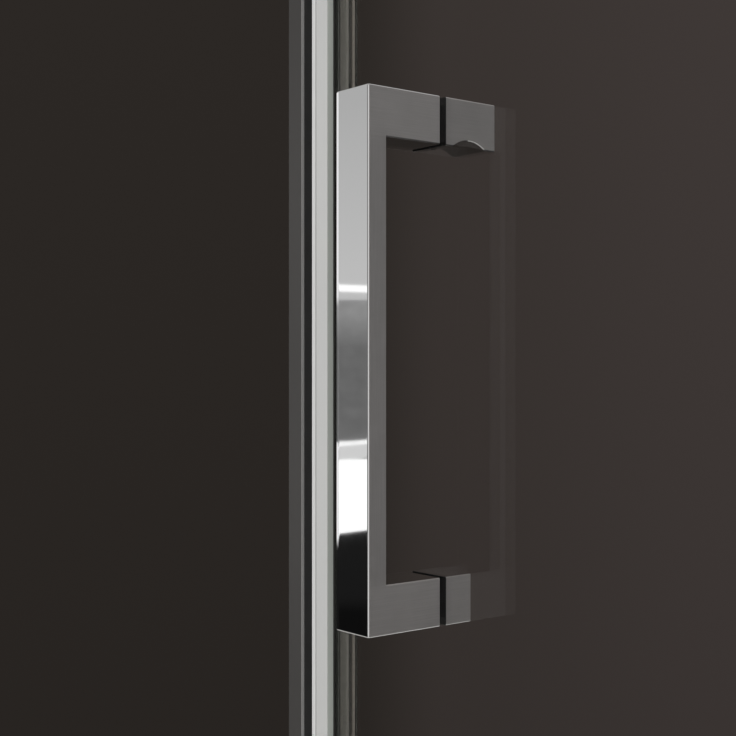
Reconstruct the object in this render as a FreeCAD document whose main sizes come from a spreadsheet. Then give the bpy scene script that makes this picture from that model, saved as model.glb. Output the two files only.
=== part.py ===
# Swinging shower door for a niche, in millimetres.
# X runs to the right seen from outside, Y into the shower and Z up. The origin is on the tray, in
# the middle of the opening and of the glass. The door closes at -X and hangs on pins at +X.
import FreeCAD, Part
import math
import os
import re
import Sketcher

doc = FreeCAD.newDocument("shower_door")

# Driving sizes
sizes = {
    # opening
    "niche_width": 800,
    "profile_height": 1950,
    # glass pane
    "glass_thickness": 8,
    "glass_top_gap": 6,
    "strike_edge_gap": 7,
    "hinge_edge_gap": 5.9,
    "glass_arris": 0.8,
    # wall channels
    "channel_depth": 13.7,
    "channel_width": 26,
    "channel_wall": 2.2,
    "channel_edge_flat": 1.7,
    "wall_hole_radius": 2.5,
    "wall_hole_end": 105,
    # profiles that slide in the channels
    "face_reach": 35.9,
    "slide_clearance": 0.2,
    "back_gap": 4.5,
    "guide_depth": 6,
    "profile_wall": 1.6,
    "stem_width": 6,
    "head_gap": 6.1,
    "head_proud": 5,
    "head_rib_rise": 0.5,
    "head_rib_width": 3.2,
    "head_rib_round": 0.8,
    "head_line_width": 1.2,
    "head_line_depth": 0.5,
    "stop_reach": 8,
    "stop_thickness": 1.8,
    "stop_clearance": 0.4,
    "stop_foot_gap": 0.5,
    "magnet_groove_depth": 4,
    "magnet_groove_width": 9,
    "magnet_play": 0.05,
    "magnet_end_gap": 4,
    "post_wall": 2,
    "post_round": 1,
    "channel_gasket_recess": 0.5,
    # screws that lock the profiles in the channels
    "clamp_screw_radius": 2,
    "clamp_screw_length": 6,
    "clamp_head_radius": 3.5,
    "clamp_head_height": 2.2,
    "clamp_screw_end": 125,
    "screw_play": 0.05,
    # end caps
    "cap_thickness": 3,
    "cap_overhang": 0.5,
    "cap_round": 1,
    "cap_plug_depth": 10,
    "cap_plug_play": 0.15,
    # threshold
    "threshold_height": 8,
    "threshold_edge": 2,
    "threshold_outer": 16,
    "threshold_inner": 20,
    # seals on the glass
    "seal_wall": 1.2,
    "seal_leg": 10.2,
    "seal_foot_gap": 1,
    "seal_joint_gap": 1,
    "bead_length": 3,
    "bead_thickness": 1.8,
    "bead_round": 0.5,
    "bulb_inset": 1.3,
    "bulb_wall": 0.8,
    "bulb_gap": 0.4,
    "bulb_round": 1.2,
    "nose_radius": 3,
    "sweep_leg": 14,
    "sweep_gap": 0.5,
    "sweep_drop": 6.3,
    "fin_thickness": 1.2,
    "deflector_reach": 5,
    "deflector_drop": 3.5,
    # handle and its inside pieces
    "handle_level": 1050,
    "handle_inset": 78.1,
    "handle_height": 300,
    "handle_width": 29,
    "handle_projection": 52,
    "bar_thickness": 12.8,
    "arm_height": 27.5,
    "handle_arris": 0.6,
    "handle_gasket": 0.3,
    "handle_gasket_inset": 0.3,
    "handle_gasket_end": 4.5,
    "handle_hole_radius": 7,
    "sleeve_play": 0.1,
    "stud_radius": 4,
    "stud_play": 0.05,
    "stud_outer_depth": 20,
    "stud_inner_depth": 12,
    "stud_end_gap": 1,
    "grip_length": 38.6,
    "stub_length": 19.5,
    "scallop_start": 5.8,
    "scallop_land": 8.2,
    "scallop_depth": 4.2,
    "scallop_blend": 4,
    "grub_radius": 1.5,
    "grub_inset": 3.5,
    "grub_recess": 1.5,
    # hinges
    "lower_hinge_level": 250,
    "upper_hinge_drop": 250,
    "pin_inset": 20,
    "pin_radius": 4,
    "pin_clearance": 0.05,
    "pin_seat_play": 0.02,
    "pin_end_gap": 0.5,
    "pin_bevel": 0.6,
    "knuckle_inset": 1.5,
    "knuckle_height": 34,
    "knuckle_fillet": 0.8,
    "bush_wall": 2,
    "bush_length": 12,
    "bush_flange": 1,
    "bush_flange_inset": 1,
    "bush_play": 0.02,
    "thrust_clearance": 0.05,
    "bracket_base": 4,
    "bracket_arris": 0.6,
    "bracket_screw_radius": 2.5,
    "bracket_screw_head": 4.7,
    "bracket_screw_length": 12,
    "nut_plate_thickness": 5,
    "nut_plate_play": 1,
    "nut_plate_height": 80,
    "nut_plate_end": 8,
    "plate_width": 58,
    "plate_height": 92,
    "plate_thickness": 8,
    "plate_edge_inset": 6.5,
    "plate_arris": 0.8,
    "plate_gasket": 1,
    "plate_gasket_inset": 1,
    "plate_screw_radius": 3,
    "plate_screw_head": 5.8,
    "plate_screw_inset": 15,
    "plate_screw_spacing": 60,
    "plate_screw_grip": 5,
    "hinge_hole_radius": 6,
    "lug_height": 12,
    "lug_gap": 0.2,
    "lug_clearance": 1.5,
    "notch_clearance": 3.5,
    "cutout_clearance": 2.5,
    "cutout_round": 6,
    "seal_hinge_gap": 2,
}

# Places worked out from the driving sizes. X places are distances from the middle of the opening.
places = {
    "half_niche": "niche_width / 2",
    "mid_height": "profile_height / 2",
    "glass_half": "glass_thickness / 2",
    "channel_edge_round": "channel_wall - channel_edge_flat",
    "wall_hole_outer": "mid_height - wall_hole_end",
    "wall_hole_inner": "wall_hole_outer / 3",
    "channel_half": "channel_width / 2",
    "channel_inside": "channel_half - channel_wall",
    "channel_mouth": "half_niche - channel_depth",
    "channel_web": "half_niche - channel_wall",
    "guide_half": "channel_inside - slide_clearance",
    "guide_back": "half_niche - back_gap",
    "guide_front": "guide_back - guide_depth",
    "clamp_x": "guide_back - guide_depth / 2",
    "face": "half_niche - face_reach",
    "head_back": "channel_mouth - head_gap",
    "channel_gasket_end": "channel_mouth + channel_gasket_recess",
    "head_front": "glass_half + head_proud",
    "head_rib_front": "head_front + head_rib_rise",
    "stem_half": "stem_width / 2",
    "leg_outside": "glass_half + seal_wall",
    "bulb_half": "leg_outside - bulb_inset",
    "stop_front": "leg_outside + stop_clearance",
    "stop_back": "stop_front + stop_thickness",
    "stop_end": "face - stop_reach",
    "groove_floor": "face + magnet_groove_depth",
    "groove_half": "magnet_groove_width / 2",
    "head_line_start": "head_back - head_rib_width",
    "head_line_end": "head_line_start - head_line_width",
    "post_inside": "guide_half - post_wall",
    "clamp_tip": "channel_half - clamp_screw_length",
    "clamp_pitch": "mid_height - clamp_screw_end",
    "threshold_rise": "threshold_height - threshold_edge",
    "threshold_half": "(threshold_outer + threshold_inner) / 2",
    "threshold_radius": "(threshold_half ^ 2 + threshold_rise ^ 2) / (2 * threshold_rise)",
    "strike_edge": "face - strike_edge_gap",
    "hinge_edge": "face - hinge_edge_gap",
    "sweep_tip": "threshold_height + sweep_gap",
    "sweep_web": "sweep_tip + sweep_drop",
    "glass_foot": "sweep_web + seal_wall",
    "glass_top": "profile_height - glass_top_gap",
    "seal_foot": "threshold_height + seal_foot_gap",
    "bead_outside": "glass_half + bead_thickness",
    "bulb_end": "face - bulb_gap",
    "bulb_inside": "bulb_wall + magnet_play",
    "handle_x": "strike_edge - handle_inset",
    "handle_half": "handle_width / 2",
    "handle_foot": "handle_level - handle_height / 2",
    "handle_top": "handle_level + handle_height / 2",
    "upper_arm_level": "handle_top - arm_height / 2",
    "lower_arm_level": "handle_foot + arm_height / 2",
    "arm_half": "arm_height / 2",
    "bar_front": "glass_half + handle_projection",
    "bar_back": "bar_front - bar_thickness",
    "arm_end": "glass_half + handle_gasket",
    "stud_bore": "stud_radius + stud_play",
    "scallop_end": "grip_length - scallop_land",
    "scallop_chord": "scallop_end - scallop_start",
    "scallop_radius": "(scallop_chord ^ 2 / 4 + scallop_depth ^ 2) / (2 * scallop_depth)",
    "upper_hinge_level": "profile_height - upper_hinge_drop",
    "pin_x": "hinge_edge - pin_inset",
    "plate_right": "hinge_edge - plate_edge_inset",
    "plate_left": "plate_right - plate_width",
    "plate_half": "plate_height / 2",
    "plate_start": "glass_half + plate_gasket",
    "plate_face": "plate_start + plate_thickness",
    "plate_screw_x": "plate_left + plate_screw_inset",
    "knuckle_radius": "guide_half - knuckle_inset",
    "knuckle_half": "knuckle_height / 2",
    "knuckle_nose": "pin_x - knuckle_radius",
    "lug_start": "knuckle_half + bush_flange + thrust_clearance",
    "lug_end": "lug_start + lug_height",
    "notch_x": "knuckle_nose - notch_clearance",
    "cutout_x": "knuckle_nose - cutout_clearance",
    "cutout_half": "lug_end + lug_clearance",
    "pin_half": "lug_end - pin_end_gap",
    "bush_bore": "pin_radius + pin_clearance",
    "bush_radius": "bush_bore + bush_wall",
    "bush_flange_radius": "knuckle_radius - bush_flange_inset",
    "base_x": "face - bracket_base",
    "post_back": "face + post_wall",
    "nut_plate_side": "post_inside - nut_plate_play",
    "nut_plate_half": "nut_plate_height / 2",
    "bracket_screw_half": "nut_plate_half - nut_plate_end",
}
hinges = ("lower", "upper")
sheet_of = {**dict.fromkeys(sizes, "sizes"), **dict.fromkeys(places, "places")}


def path(text):
    """The formula with its sheet put before each word that names a size or a place."""
    return re.sub(r"[a-z_]+", lambda word: f"{sheet_of[word.group()]}.{word.group()}", text)


def fill_sheet(name, rows):
    sheet = doc.addObject("Spreadsheet::Sheet", name)
    for row, (alias, content) in enumerate(rows.items(), start=1):
        sheet.set(f"A{row}", alias)
        sheet.set(f"B{row}", content)
        sheet.setAlias(f"B{row}", alias)
    doc.recompute()
    return sheet


size_sheet = fill_sheet("sizes", {name: str(number) for name, number in sizes.items()})
fill_sheet("places", {name: "=" + path(text) for name, text in places.items()})
nodes = []


def value(text):
    return float(size_sheet.evalExpression(path(text)))


# Drawing and shaping

def new_node(kind, label):
    node = doc.addObject(kind, label)
    node.Label = label
    nodes.append(node)
    return node


def new_body(label):
    return new_node("PartDesign::Body", label)


def origin_feature(body, role):
    return next(feature for feature in body.Origin.OriginFeatures if feature.Role == role)


def new_sketch(body, plane, shift=("0", "0", "0")):
    """A sketch on an origin plane, with its own origin shifted along its two axes and its normal."""
    sketch = body.newObject("Sketcher::SketchObject", f"{body.Name}_sketch")
    sketch.AttachmentSupport = (origin_feature(body, plane), [""])
    sketch.MapMode = "FlatFace"
    for axis, text in zip("xyz", shift):
        sketch.setExpression(f"AttachmentOffset.Base.{axis}", path(text))
    return sketch


def bind(sketch, constraint, text):
    index = sketch.addConstraint(constraint)
    sketch.setExpression(f"Constraints[{index}]", path(text))


def place_point(sketch, geometry, end, x, y):
    bind(sketch, Sketcher.Constraint("DistanceX", -1, 1, geometry, end, value(x)), x)
    bind(sketch, Sketcher.Constraint("DistanceY", -1, 1, geometry, end, value(y)), y)


def draw_arc(sketch, start, end, radius, turn):
    """An arc of less than a half circle that turns left or right on its way from start to end."""
    chord = end - start
    left = FreeCAD.Vector(-chord.y, chord.x).normalize()
    rise = math.sqrt(value(radius) ** 2 - chord.Length ** 2 / 4)
    centre = (start + end) / 2 + left * (rise if turn == "left" else -rise)
    first, last = (start, end) if turn == "left" else (end, start)
    angles = [math.atan2(point.y - centre.y, point.x - centre.x) for point in (first, last)]
    circle = Part.Circle(centre, FreeCAD.Vector(0, 0, 1), value(radius))
    arc = sketch.addGeometry(Part.ArcOfCircle(circle, *angles))
    bind(sketch, Sketcher.Constraint("Radius", arc, value(radius)), radius)
    return (arc, 1, 2) if turn == "left" else (arc, 2, 1)


def draw_outline(sketch, corners):
    """A closed outline. A corner is (x, y), or (x, y, radius, turn) where an arc leads on from it."""
    points = [FreeCAD.Vector(value(corner[0]), value(corner[1])) for corner in corners]
    runs = []
    for corner, start, end in zip(corners, points, points[1:] + points[:1]):
        if len(corner) == 2:
            runs.append((sketch.addGeometry(Part.LineSegment(start, end)), 1, 2))
        else:
            runs.append(draw_arc(sketch, start, end, *corner[2:]))
    for corner, (run, tail, head), (after, after_tail, _) in zip(corners, runs, runs[1:] + runs[:1]):
        sketch.addConstraint(Sketcher.Constraint("Coincident", run, head, after, after_tail))
        place_point(sketch, run, tail, corner[0], corner[1])


def draw_rectangle(sketch, left, low, right, high):
    draw_outline(sketch, [(left, low), (right, low), (right, high), (left, high)])


def draw_circle(sketch, x, y, radius):
    centre = FreeCAD.Vector(value(x), value(y))
    circle = sketch.addGeometry(Part.Circle(centre, FreeCAD.Vector(0, 0, 1), value(radius)))
    place_point(sketch, circle, 3, x, y)
    bind(sketch, Sketcher.Constraint("Radius", circle, value(radius)), radius)


def pad(body, sketch, length, side="One side", back=False):
    feature = body.newObject("PartDesign::Pad", f"{body.Name}_pad")
    feature.Profile = sketch
    feature.SideType = side
    feature.Reversed = back
    feature.setExpression("Length", path(length))
    doc.recompute()


def pocket(body, sketch, length=None, side="One side", back=False):
    """Cuts against the sketch's normal or, back, along it, and right through if no length is given."""
    before = body.Shape.Volume
    feature = body.newObject("PartDesign::Pocket", f"{body.Name}_pocket")
    feature.Profile = sketch
    feature.SideType = side
    feature.Reversed = back
    if length is None:
        feature.Type = "ThroughAll"
    else:
        feature.setExpression("Length", path(length))
    doc.recompute()
    if not body.Shape.Volume < before:
        raise ValueError(f"{feature.Label} cuts nothing")


def revolve(body, sketch):
    feature = body.newObject("PartDesign::Revolution", f"{body.Name}_turned")
    feature.Profile = sketch
    feature.ReferenceAxis = (sketch, ["V_Axis"])
    feature.Angle = 360
    doc.recompute()
    return feature


def dress(body, kind, size, picks):
    """Fillets or chamfers the edges that picks chooses."""
    base = body.Tip
    edges = [f"Edge{n}" for n, edge in enumerate(base.Shape.Edges, start=1) if picks(edge)]
    feature = body.newObject(f"PartDesign::{kind}", f"{body.Name}_{kind.lower()}")
    feature.Base = (base, edges)
    feature.setExpression("Radius" if kind == "Fillet" else "Size", path(size))
    doc.recompute()


def lies_at(edge, **where):
    """Do all ends of the edge have these coordinates?"""
    return all(
        abs(getattr(vertex.Point, axis) - at) < 1e-4
        for vertex in edge.Vertexes
        for axis, at in where.items()
    )


def stands(edge):
    return edge.BoundBox.ZLength > edge.BoundBox.XLength + edge.BoundBox.YLength


def is_round(edge):
    return isinstance(edge.Curve, Part.Circle)


def add_box(label, low, high):
    box = doc.addObject("Part::Box", label)
    for side, axis, start, end in zip(("Length", "Width", "Height"), "xyz", low, high):
        box.setExpression(side, path(f"({end}) - ({start})"))
        box.setExpression(f"Placement.Base.{axis}", path(start))
    return box


def add_group(label, members):
    new_node("Part::Compound", label).Links = members


# Wall channels and what locks the profiles in them

def wall_channel(name, sign):
    body = new_body(f"{name}_wall_channel")
    section = new_sketch(body, "XY_Plane")
    draw_outline(section, [
        (f"{sign}half_niche", "-channel_half"),
        (f"{sign}half_niche", "channel_half"),
        (f"{sign}channel_mouth", "channel_half"),
        (f"{sign}channel_mouth", "channel_inside"),
        (f"{sign}channel_web", "channel_inside"),
        (f"{sign}channel_web", "-channel_inside"),
        (f"{sign}channel_mouth", "-channel_inside"),
        (f"{sign}channel_mouth", "-channel_half"),
    ])
    pad(body, section, "profile_height")
    mouth, half = value(f"{sign}channel_mouth"), value("channel_half")
    dress(body, "Fillet", "channel_edge_round",
          lambda edge: lies_at(edge, x=mouth, y=-half) or lies_at(edge, x=mouth, y=half))
    wall_holes = new_sketch(body, "YZ_Plane")
    for reach in ("wall_hole_outer", "wall_hole_inner"):
        for way in "+-":
            draw_circle(wall_holes, "0", f"mid_height {way} {reach}", "wall_hole_radius")
    pocket(body, wall_holes, side="Symmetric")
    clamp_holes(body, sign)


def clamp_holes(body, sign, length=None):
    """Holes for the clamp screws, which come from the inside of the shower."""
    holes = new_sketch(body, "XZ_Plane", ("0", "0", "0" if length is None else "-clamp_tip"))
    for level in ("clamp_screw_end", "mid_height", "mid_height + clamp_pitch"):
        draw_circle(holes, f"{sign}clamp_x", level, "clamp_screw_radius + screw_play")
    pocket(body, holes, length)


def clamp_screws(name, sign):
    body = new_body(f"{name}_clamp_screws")
    half = new_sketch(body, "XY_Plane", (f"{sign}clamp_x", "0", "clamp_screw_end"))
    draw_outline(half, [
        ("0", "clamp_tip"),
        ("clamp_screw_radius", "clamp_tip"),
        ("clamp_screw_radius", "channel_half"),
        ("clamp_head_radius", "channel_half"),
        ("clamp_head_radius", "channel_half + clamp_head_height"),
        ("0", "channel_half + clamp_head_height"),
    ])
    screw = revolve(body, half)
    row = body.newObject("PartDesign::LinearPattern", f"{body.Name}_row")
    row.Originals = [screw]
    row.Direction = (origin_feature(body, "Z_Axis"), [""])
    row.Occurrences = 3
    row.setExpression("Length", path("2 * clamp_pitch"))
    body.Tip = row


def top_cap(name, sign, reach, plug):
    """A cap over channel and profile, with a plug that goes into the profile's hollow."""
    body = new_body(f"{name}_top_cap")
    cover = new_sketch(body, "XY_Plane", ("0", "0", "profile_height"))
    side = "channel_half + cap_overhang"
    draw_rectangle(cover, f"{sign}half_niche", f"-({side})", f"{sign}({reach} - cap_overhang)", side)
    pad(body, cover, "cap_thickness")
    wall, top = value(f"{sign}half_niche"), value("profile_height + cap_thickness")
    dress(body, "Fillet", "cap_round",
          lambda edge: lies_at(edge, z=top) and not lies_at(edge, x=wall))
    stem = new_sketch(body, "XY_Plane", ("0", "0", "profile_height"))
    near, far, front, rear = plug
    draw_rectangle(stem, f"{sign}({near} + cap_plug_play)", f"{front} + cap_plug_play",
                   f"{sign}({far} - cap_plug_play)", f"{rear} - cap_plug_play")
    pad(body, stem, "cap_plug_depth", back=True)


# Strike side: the profile that the door closes against

def strike_profile():
    body = new_body("strike_adjusting_profile")
    section = new_sketch(body, "XY_Plane")
    draw_outline(section, [
        ("-guide_back", "-guide_half"),
        ("-guide_front", "-guide_half"),
        ("-guide_front", "-stem_half"),
        ("-head_back", "-stem_half"),
        ("-head_back", "-head_rib_front"),
        ("-head_line_start", "-head_rib_front"),
        ("-head_line_start", "head_line_depth - head_front"),
        ("-head_line_end", "head_line_depth - head_front"),
        ("-head_line_end", "-head_front"),
        ("-face", "-head_front"),
        ("-face", "-groove_half"),
        ("-groove_floor", "-groove_half"),
        ("-groove_floor", "groove_half"),
        ("-face", "groove_half"),
        ("-face", "stop_front"),
        ("-stop_end", "stop_front"),
        ("-stop_end", "stop_back"),
        ("-head_back", "stop_back"),
        ("-head_back", "stem_half"),
        ("-guide_front", "stem_half"),
        ("-guide_front", "guide_half"),
        ("-guide_back", "guide_half"),
    ])
    draw_outline(section, [
        ("profile_wall - guide_back", "profile_wall - guide_half"),
        ("-guide_front - profile_wall", "profile_wall - guide_half"),
        ("-guide_front - profile_wall", "profile_wall - stem_half"),
        ("profile_wall - head_back", "profile_wall - stem_half"),
        ("profile_wall - head_back", "profile_wall - head_front"),
        ("-groove_floor - profile_wall", "profile_wall - head_front"),
        ("-groove_floor - profile_wall", "stop_back - profile_wall"),
        ("profile_wall - head_back", "stop_back - profile_wall"),
        ("profile_wall - head_back", "stem_half - profile_wall"),
        ("-guide_front - profile_wall", "stem_half - profile_wall"),
        ("-guide_front - profile_wall", "guide_half - profile_wall"),
        ("profile_wall - guide_back", "guide_half - profile_wall"),
    ])
    pad(body, section, "profile_height")
    crest = value("-head_rib_front")
    dress(body, "Fillet", "head_rib_round", lambda edge: stands(edge) and lies_at(edge, y=crest))
    # the stop lip is cut away at the foot, where the threshold passes
    foot = new_sketch(body, "XY_Plane")
    draw_rectangle(foot, "-face", "stop_front", "-stop_end", "stop_back")
    pocket(body, foot, "threshold_height + stop_foot_gap", back=True)
    clamp_holes(body, "-", "clamp_screw_length")


def strike_fittings():
    near, far = "-guide_front", "-channel_gasket_end"
    add_group("strike_channel_gaskets", [
        add_box("front_gasket", (near, "-guide_half", "0"), (far, "-stem_half", "profile_height")),
        add_box("rear_gasket", (near, "stem_half", "0"), (far, "guide_half", "profile_height")),
    ])
    nodes.append(add_box(
        "strike_magnet_strip",
        ("-groove_floor", "magnet_play - groove_half", "threshold_height + magnet_end_gap"),
        ("-face", "groove_half - magnet_play", "profile_height - magnet_end_gap"),
    ))


# Hinge side: the post that carries the hinges

def hinge_post():
    body = new_body("hinge_post")
    section = new_sketch(body, "XY_Plane")
    draw_rectangle(section, "face", "-guide_half", "guide_back", "guide_half")
    draw_rectangle(section, "post_back", "-post_inside", "guide_back - post_wall", "post_inside")
    pad(body, section, "profile_height")
    face, half = value("face"), value("guide_half")
    dress(body, "Fillet", "post_round",
          lambda edge: lies_at(edge, x=face, y=-half) or lies_at(edge, x=face, y=half))
    clamp_holes(body, "", "clamp_screw_length")
    bracket_holes = new_sketch(body, "YZ_Plane", ("0", "0", "face"))
    draw_bracket_holes(bracket_holes, hinges)
    pocket(body, bracket_holes, "post_wall", back=True)


def draw_bracket_holes(sketch, levels):
    for hinge in levels:
        for way in "+-":
            level = f"{hinge}_hinge_level {way} bracket_screw_half"
            draw_circle(sketch, "0", level, "bracket_screw_radius + screw_play")


def nut_plates():
    members = []
    for hinge in hinges:
        body = doc.addObject("PartDesign::Body", f"{hinge}_nut_plate")
        plate = new_sketch(body, "YZ_Plane", ("0", "0", "post_back"))
        low, high = (f"{hinge}_hinge_level {way} nut_plate_half" for way in "-+")
        draw_rectangle(plate, "-nut_plate_side", low, "nut_plate_side", high)
        draw_bracket_holes(plate, [hinge])
        pad(body, plate, "nut_plate_thickness")
        members.append(body)
    add_group("hinge_nut_plates", members)


def bracket_screws():
    body = new_body("hinge_bracket_screws")
    slope = "bracket_screw_head - bracket_screw_radius"
    for hinge in hinges:
        for way in "+-":
            level = f"{hinge}_hinge_level {way} bracket_screw_half"
            half = new_sketch(body, "XZ_Plane", ("0", "0", "0"))
            half.AttachmentOffset = FreeCAD.Placement(
                FreeCAD.Vector(), FreeCAD.Rotation(FreeCAD.Vector(0, 0, 1), -90))
            half.setExpression("AttachmentOffset.Base.x", path("base_x"))
            half.setExpression("AttachmentOffset.Base.y", path(level))
            draw_outline(half, [
                ("0", "0"),
                ("bracket_screw_head", "0"),
                ("bracket_screw_radius", slope),
                ("bracket_screw_radius", "bracket_screw_length"),
                ("0", "bracket_screw_length"),
            ])
            revolve(body, half)


def wall_bracket(hinge):
    body = new_body(f"{hinge}_hinge_wall_bracket")
    level = f"{hinge}_hinge_level"
    base = new_sketch(body, "YZ_Plane", ("0", "0", "base_x"))
    draw_rectangle(base, "-guide_half", f"{level} - plate_half", "guide_half", f"{level} + plate_half")
    pad(body, base, "bracket_base")
    knuckle = new_sketch(body, "XY_Plane", ("0", "0", level))
    draw_outline(knuckle, [
        ("base_x", "knuckle_radius"),
        ("pin_x", "knuckle_radius", "knuckle_radius", "left"),
        ("knuckle_nose", "0", "knuckle_radius", "left"),
        ("pin_x", "-knuckle_radius"),
        ("base_x", "-knuckle_radius"),
    ])
    pad(body, knuckle, "knuckle_height", side="Symmetric")
    front, flank = value("base_x"), value("knuckle_radius")
    half = value("guide_half")
    dress(body, "Fillet", "knuckle_fillet",
          lambda edge: lies_at(edge, x=front) and abs(abs(edge.CenterOfMass.y) - flank) < 1e-4)
    dress(body, "Chamfer", "bracket_arris",
          lambda edge: lies_at(edge, x=front) and edge.BoundBox.ZLength + edge.BoundBox.YLength > half)
    bore = new_sketch(body, "XY_Plane", ("0", "0", level))
    draw_circle(bore, "pin_x", "0", "bush_radius + bush_play")
    pocket(body, bore, side="Symmetric")
    screw_holes = new_sketch(body, "YZ_Plane", ("0", "0", "face"))
    draw_bracket_holes(screw_holes, [hinge])
    pocket(body, screw_holes)
    dress(body, "Chamfer", "bracket_screw_head - bracket_screw_radius",
          lambda edge: is_round(edge) and lies_at(edge, x=front))


def bushes(hinge):
    """Two flanged bushes, pressed into the knuckle from above and below."""
    body = new_body(f"{hinge}_hinge_bushes")
    half = new_sketch(body, "XZ_Plane", ("pin_x", f"{hinge}_hinge_level", "0"))
    draw_outline(half, [
        ("bush_bore", "knuckle_half - bush_length"),
        ("bush_radius", "knuckle_half - bush_length"),
        ("bush_radius", "knuckle_half"),
        ("bush_flange_radius", "knuckle_half"),
        ("bush_flange_radius", "knuckle_half + bush_flange"),
        ("bush_bore", "knuckle_half + bush_flange"),
    ])
    upper = revolve(body, half)
    pair = body.newObject("PartDesign::Mirrored", f"{body.Name}_pair")
    pair.Originals = [upper]
    pair.MirrorPlane = (half, ["H_Axis"])
    body.Tip = pair


def threshold():
    body = new_body("threshold_bar")
    section = new_sketch(body, "YZ_Plane")
    draw_outline(section, [
        ("-threshold_outer", "0"),
        ("threshold_inner", "0"),
        ("threshold_inner", "threshold_edge", "threshold_radius", "left"),
        ("-threshold_outer", "threshold_edge"),
    ])
    pad(body, section, "2 * face", side="Symmetric")


# Glass pane

def glass_pane():
    body = new_body("glass_pane")
    sheet = new_sketch(body, "XZ_Plane")
    draw_rectangle(sheet, "-strike_edge", "glass_foot", "hinge_edge", "glass_top")
    pad(body, sheet, "glass_thickness", side="Symmetric")
    cutouts = new_sketch(body, "XZ_Plane")
    for hinge in hinges:
        low, high = (f"{hinge}_hinge_level {way} cutout_half" for way in "-+")
        draw_rectangle(cutouts, "cutout_x", low, "hinge_edge", high)
    pocket(body, cutouts, side="Symmetric")
    corner, half = value("cutout_x"), value("glass_half")
    dress(body, "Fillet", "cutout_round",
          lambda edge: lies_at(edge, x=corner) and edge.BoundBox.YLength > half)
    dress(body, "Chamfer", "glass_arris",
          lambda edge: lies_at(edge, y=half) or lies_at(edge, y=-half))
    holes = new_sketch(body, "XZ_Plane")
    draw_handle_holes(holes, "handle_hole_radius")
    draw_plate_holes(holes, "hinge_hole_radius", hinges)
    pocket(body, holes, side="Symmetric")


def draw_handle_holes(sketch, radius):
    for arm in ("lower", "upper"):
        draw_circle(sketch, "-handle_x", f"{arm}_arm_level", radius)


def draw_plate_holes(sketch, radius, levels):
    for hinge in levels:
        for way in "+-":
            level = f"{hinge}_hinge_level {way} plate_screw_spacing / 2"
            draw_circle(sketch, "plate_screw_x", level, radius)


def hole_sleeves(label, draw_holes, hole_radius, bore_radius):
    """Plastic sleeves that keep the fasteners off the glass."""
    body = new_body(label)
    rings = new_sketch(body, "XZ_Plane")
    draw_holes(rings, f"{hole_radius} - sleeve_play")
    draw_holes(rings, bore_radius)
    pad(body, rings, "glass_thickness", side="Symmetric")


# Handle and its inside pieces

def handle_bar():
    body = new_body("handle_bar")
    outline = new_sketch(body, "YZ_Plane", ("0", "0", "-handle_x"))
    draw_outline(outline, [
        ("-bar_front", "handle_foot"),
        ("-arm_end", "handle_foot"),
        ("-arm_end", "handle_foot + arm_height"),
        ("-bar_back", "handle_foot + arm_height"),
        ("-bar_back", "handle_top - arm_height"),
        ("-arm_end", "handle_top - arm_height"),
        ("-arm_end", "handle_top"),
        ("-bar_front", "handle_top"),
    ])
    pad(body, outline, "handle_width", side="Symmetric")
    back, end, half = value("-bar_back"), value("-arm_end"), value("handle_half")
    dress(body, "Chamfer", "handle_arris",
          lambda edge: not lies_at(edge, y=end)
          and not (lies_at(edge, y=back) and edge.BoundBox.XLength > half))
    bores = new_sketch(body, "XZ_Plane", ("0", "0", "arm_end"))
    draw_handle_holes(bores, "stud_bore")
    pocket(body, bores, "stud_outer_depth + stud_end_gap", back=True)


def handle_gaskets(name, start, back):
    body = new_body(f"handle_{name}_gaskets")
    pads = new_sketch(body, "XZ_Plane", ("0", "0", start))
    half = "handle_half - handle_gasket_inset"
    near, far = "arm_half - handle_gasket_inset", "arm_half - handle_gasket_end"
    for arm, drop, rise in (("lower", far, near), ("upper", near, far)):
        draw_rectangle(pads, f"-handle_x - ({half})", f"{arm}_arm_level - ({drop})",
                       f"-handle_x + {half}", f"{arm}_arm_level + {rise}")
    draw_handle_holes(pads, "stud_bore")
    pad(body, pads, "handle_gasket", back=back)


def inner_block(label, level, length, underside):
    """A block on the inside of the glass. The underside lists extra corners of its lower edge."""
    body = new_body(label)
    outline = new_sketch(body, "YZ_Plane", ("0", "0", "-handle_x"))
    low, end = f"{level} - arm_half", f"arm_end + {length}"
    draw_outline(outline, [
        ("arm_end", low),
        *((f"arm_end + {along}", low, *arc) for along, *arc in underside),
        (end, low),
        (end, f"{level} + arm_half"),
        ("arm_end", f"{level} + arm_half"),
    ])
    pad(body, outline, "handle_width", side="Symmetric")
    floor, half, glass_side = value(low), value("handle_half"), value("arm_end")
    blends = [value(f"arm_end + {along}") for along, *_ in underside]
    if blends:
        dress(body, "Fillet", "scallop_blend", lambda edge: edge.BoundBox.XLength > half and any(
            lies_at(edge, y=blend, z=floor) for blend in blends))
    sides = [value("-handle_x - handle_half"), value("-handle_x + handle_half")]
    dress(body, "Chamfer", "handle_arris", lambda edge: not lies_at(edge, y=glass_side) and (
        any(lies_at(edge, x=side) for side in sides) or lies_at(edge, y=value(end))))
    bore = new_sketch(body, "XZ_Plane", ("0", "0", "-arm_end"))
    draw_circle(bore, "-handle_x", level, "stud_bore")
    pocket(body, bore, "stud_inner_depth + stud_end_gap")
    grub_hole = new_sketch(body, "XY_Plane", ("0", "0", level))
    draw_circle(grub_hole, "-handle_x", "arm_end + grub_inset", "grub_radius + screw_play")
    pocket(body, grub_hole)


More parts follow.
